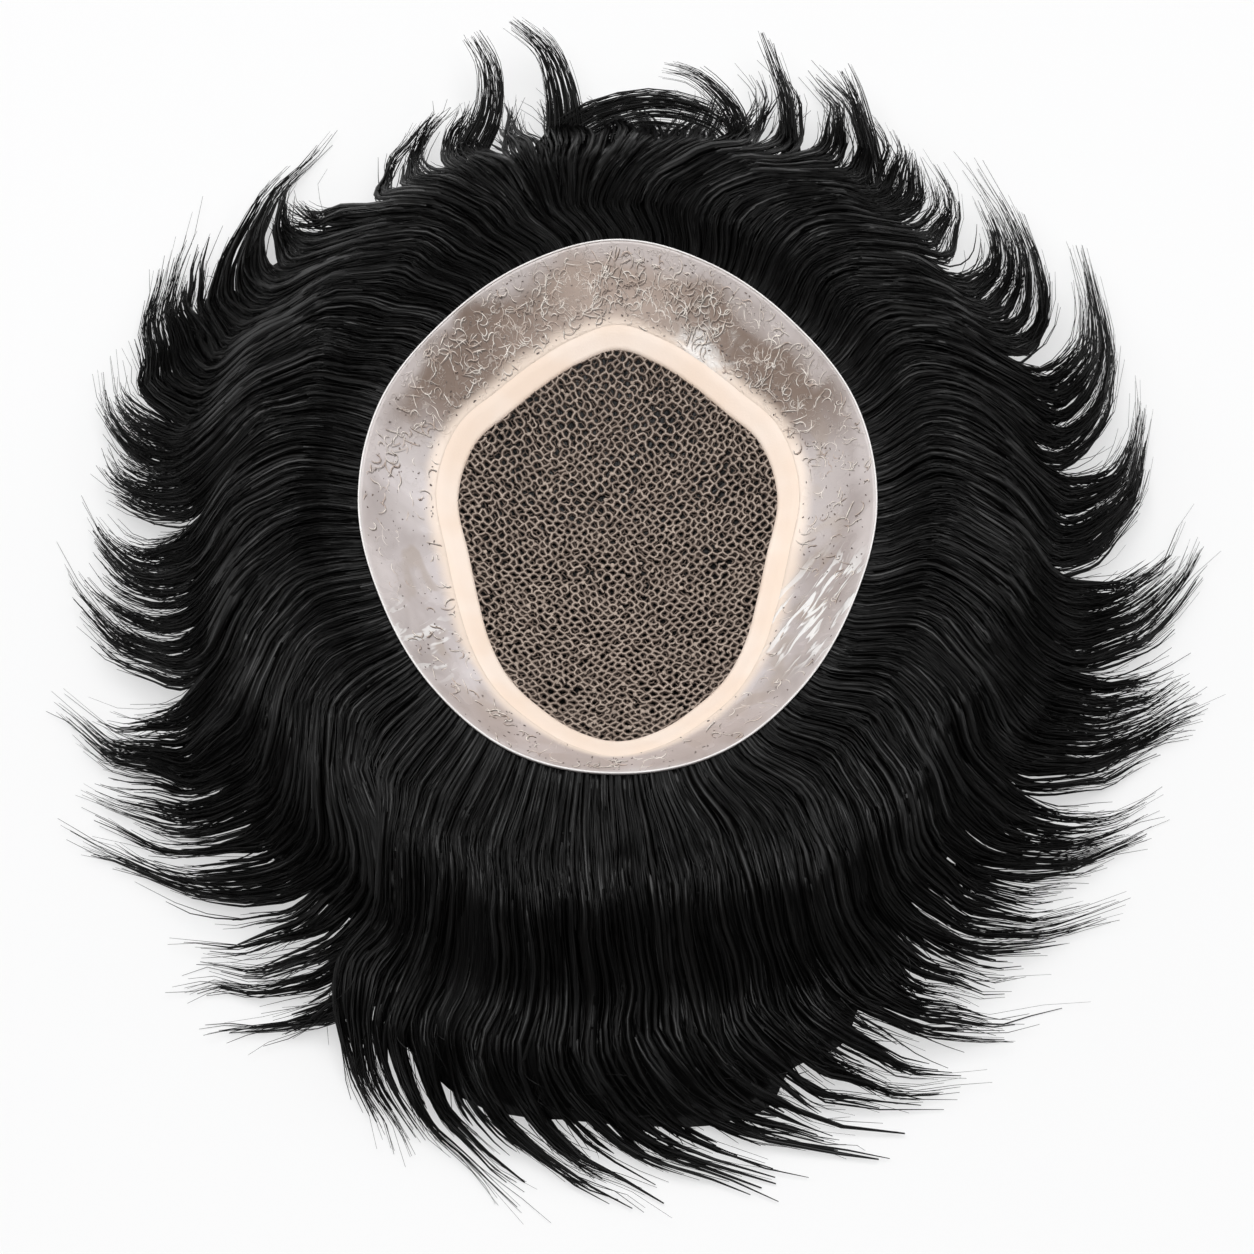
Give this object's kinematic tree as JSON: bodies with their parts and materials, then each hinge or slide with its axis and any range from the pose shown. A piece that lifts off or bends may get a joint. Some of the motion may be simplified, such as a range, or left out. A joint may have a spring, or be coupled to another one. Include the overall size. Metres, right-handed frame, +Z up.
{
  "type": "toupee hairpiece",
  "caption": "Men's toupee base with a lace centre, cream band and clear skin perimeter, lying on its fanned wavy hair with the hollow up.",
  "frame": {"origin": "middle of the whole hairpiece's outline, on the surface that it lies on", "axes": "+Z up out of the open hollow, +Y towards the end where the hair is shorter, +X to the right as seen from above"},
  "size_m": [0.407, 0.4516, 0.0552],
  "materials": {
    "lace": "taupe open net of fine twisted thread over dark hair",
    "band": "smooth matt cream ribbon",
    "skin": "thin clear glossy film with small curled marks where hairs are set, pinkish grey over the hair behind it",
    "hair": "satin black wavy hair with soft grey highlights"
  },
  "bodies": {
    "root": {"lace_centre": "lace", "edge_band": "band", "skin_perimeter": "skin", "hair_body": "hair", "lock_01": "hair", "lock_02": "hair", "lock_03": "hair", "lock_04": "hair", "lock_05": "hair", "lock_06": "hair", "lock_07": "hair", "lock_08": "hair", "lock_09": "hair", "lock_10": "hair", "lock_11": "hair", "lock_12": "hair", "lock_13": "hair", "lock_14": "hair", "lock_15": "hair", "lock_16": "hair", "lock_17": "hair", "lock_18": "hair", "lock_19": "hair", "lock_20": "hair", "lock_21": "hair", "lock_22": "hair", "lock_23": "hair", "lock_24": "hair", "lock_25": "hair", "lock_26": "hair", "lock_27": "hair", "lock_28": "hair", "lock_29": "hair", "lock_30": "hair", "lock_31": "hair", "lock_32": "hair", "lock_33": "hair", "lock_34": "hair", "lock_35": "hair", "lock_36": "hair"}
  },
  "joints": []
}
